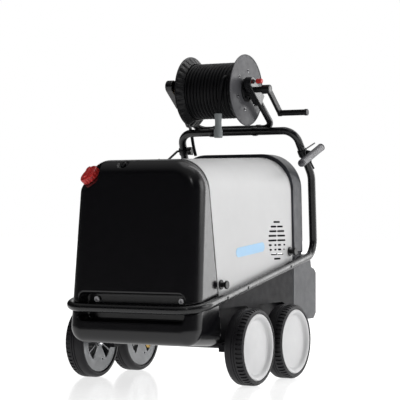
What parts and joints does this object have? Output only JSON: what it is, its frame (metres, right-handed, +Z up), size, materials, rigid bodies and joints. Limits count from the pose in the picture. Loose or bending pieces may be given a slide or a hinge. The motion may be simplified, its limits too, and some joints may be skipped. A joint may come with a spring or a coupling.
{
  "type": "hot-water steam cleaner with hose reel",
  "caption": "Mobile hot-water steam cleaner: black front tank, silver hood, tubular push frame, rubber-tyred wheels and a top hose reel with crank.",
  "frame": {"origin": "on the floor, under the centre of the machine footprint", "axes": "+X to the right as seen from in front of the tank, +Y from the front tank to the handle, +Z up"},
  "size_m": [0.806, 1.119, 1.338],
  "materials": {
    "frame_black": "gloss black powder coat",
    "tank_black": "gloss black moulded plastic",
    "hood_silver": "satin silver-grey paint",
    "console_black": "matt black moulded plastic",
    "grey_plastic": "matt dark grey moulded plastic",
    "tyre_rubber": "black rubber",
    "rim_grey": "light grey plastic",
    "cap_white": "white satin plastic",
    "zinc_steel": "zinc-plated steel",
    "brass": "plain brass",
    "red_plastic": "red plastic",
    "hose_rubber": "black hose rubber",
    "grey_rubber": "grey rubber",
    "motor_blue": "blue-grey painted casting",
    "white_plastic": "natural polyethylene",
    "flange_grey": "grey satin paint"
  },
  "bodies": {
    "root": {"chassis_shell": "grey_plastic", "bumper_tube": "frame_black", "push_bow": "frame_black", "rail_screws": "zinc_steel", "front_axle": "zinc_steel", "rear_axle": "zinc_steel", "axle_clips": "zinc_steel", "fuel_tank": "tank_black", "tank_bolts": "zinc_steel", "drain_plug": "brass", "rear_console": "console_black", "control_panel": "grey_plastic", "pressure_gauge": "zinc_steel", "rear_box": "grey_plastic", "float_tank": "white_plastic", "electric_motor": "motor_blue", "pressure_pump": "brass", "boiler": "zinc_steel", "burner_blower": "grey_plastic", "water_inlet": "brass", "cable_gland": "console_black", "lance_holder": "grey_plastic", "lance_rest": "console_black", "reel_stand": "frame_black", "reel_bracket_left": "frame_black", "reel_bracket_right": "frame_black", "hose_swivel": "brass", "link_hose": "hose_rubber", "hose_tail": "hose_rubber", "hose_coupling": "grey_rubber"},
    "wheel_front_left": {"tyre_front_left": "tyre_rubber", "rim_front_left": "rim_grey", "hub_cap_front_left": "cap_white"},
    "wheel_front_right": {"tyre_front_right": "tyre_rubber", "rim_front_right": "rim_grey", "hub_cap_front_right": "cap_white"},
    "wheel_rear_left": {"tyre_rear_left": "tyre_rubber", "rim_rear_left": "rim_grey", "hub_cap_rear_left": "cap_white"},
    "wheel_rear_right": {"tyre_rear_right": "tyre_rubber", "rim_rear_right": "rim_grey", "hub_cap_rear_right": "cap_white"},
    "reel": {"reel_drum": "console_black", "reel_flange_left": "console_black", "reel_flange_right": "flange_grey", "hose_winding": "hose_rubber", "crank_arm": "console_black"},
    "crank_grip": {"crank_grip": "console_black"},
    "reel_lock_pin": {"reel_lock_pin": "red_plastic"},
    "hood": {"hood": "hood_silver"},
    "hood_knob_front_left": {"hood_knob_front_left": "console_black"},
    "hood_knob_front_right": {"hood_knob_front_right": "console_black"},
    "hood_knob_rear_left": {"hood_knob_rear_left": "console_black"},
    "hood_knob_rear_right": {"hood_knob_rear_right": "console_black"},
    "fuel_cap": {"fuel_cap": "red_plastic"},
    "tank_top_cap": {"tank_top_cap": "console_black"},
    "main_switch": {"main_switch": "red_plastic"},
    "thermostat_knob": {"thermostat_knob": "console_black"},
    "gauge_needle": {"gauge_needle": "red_plastic"},
    "star_knob": {"star_knob": "console_black"}
  },
  "joints": [
    {"name": "wheel_front_left_spin", "type": "hinge", "parent": "root", "child": "wheel_front_left", "pos_m": [0, -0.224, 0.15], "axis": [1, 0, 0], "continuous": true},
    {"name": "wheel_front_right_spin", "type": "hinge", "parent": "root", "child": "wheel_front_right", "pos_m": [0, -0.224, 0.15], "axis": [1, 0, 0], "continuous": true},
    {"name": "wheel_rear_left_spin", "type": "hinge", "parent": "root", "child": "wheel_rear_left", "pos_m": [0, 0.112, 0.15], "axis": [1, 0, 0], "continuous": true},
    {"name": "wheel_rear_right_spin", "type": "hinge", "parent": "root", "child": "wheel_rear_right", "pos_m": [0, 0.112, 0.15], "axis": [1, 0, 0], "continuous": true},
    {"name": "reel_spin", "type": "hinge", "parent": "root", "child": "reel", "pos_m": [0, 0.2, 1.188], "axis": [1, 0, 0], "continuous": true},
    {"name": "crank_grip_spin", "type": "hinge", "parent": "reel", "child": "crank_grip", "pos_m": [0.3, 0.31242, 1.09456], "axis": [1, 0, 0], "continuous": true},
    {"name": "reel_lock_slide", "type": "slide", "parent": "root", "child": "reel_lock_pin", "axis": [-1, 0, 0], "range_m": [0, 0.0065]},
    {"name": "hood_lift", "type": "slide", "parent": "root", "child": "hood", "axis": [0, 0, 1], "range_m": [0, 0.08]},
    {"name": "hood_knob_front_left_turn", "type": "hinge", "parent": "hood", "child": "hood_knob_front_left", "pos_m": [-0.29, -0.322, 0.395], "axis": [-1, 0, 0], "continuous": true},
    {"name": "hood_knob_front_right_turn", "type": "hinge", "parent": "hood", "child": "hood_knob_front_right", "pos_m": [0.29, -0.322, 0.395], "axis": [1, 0, 0], "continuous": true},
    {"name": "hood_knob_rear_left_turn", "type": "hinge", "parent": "hood", "child": "hood_knob_rear_left", "pos_m": [-0.29, 0.298, 0.511], "axis": [-1, 0, 0], "continuous": true},
    {"name": "hood_knob_rear_right_turn", "type": "hinge", "parent": "hood", "child": "hood_knob_rear_right", "pos_m": [0.29, 0.298, 0.511], "axis": [1, 0, 0], "continuous": true},
    {"name": "fuel_cap_turn", "type": "hinge", "parent": "root", "child": "fuel_cap", "pos_m": [-0.235, -0.427, 0.813], "axis": [-0.3904, -0.6307, 0.6707], "range_deg": [0, 120]},
    {"name": "tank_top_cap_turn", "type": "hinge", "parent": "root", "child": "tank_top_cap", "pos_m": [-0.075, -0.458, 0.8665], "axis": [0, -0.6332, 0.774], "range_deg": [0, 90]},
    {"name": "main_switch_turn", "type": "hinge", "parent": "root", "child": "main_switch", "pos_m": [-0.09, 0.43, 0.765], "axis": [0, 1, 0], "range_deg": [0, 90]},
    {"name": "thermostat_turn", "type": "hinge", "parent": "root", "child": "thermostat_knob", "pos_m": [0, 0.43, 0.765], "axis": [0, 1, 0], "range_deg": [0, 270]},
    {"name": "gauge_needle_turn", "type": "hinge", "parent": "root", "child": "gauge_needle", "pos_m": [0.1, 0.43, 0.765], "axis": [0, 1, 0], "range_deg": [0, 270], "stiffness_Nm_per_rad": 0.002, "springref_deg": -28.65},
    {"name": "star_knob_turn", "type": "hinge", "parent": "root", "child": "star_knob", "pos_m": [-0.252, 0.406, 0.946], "axis": [1, 0, 0], "continuous": true}
  ]
}
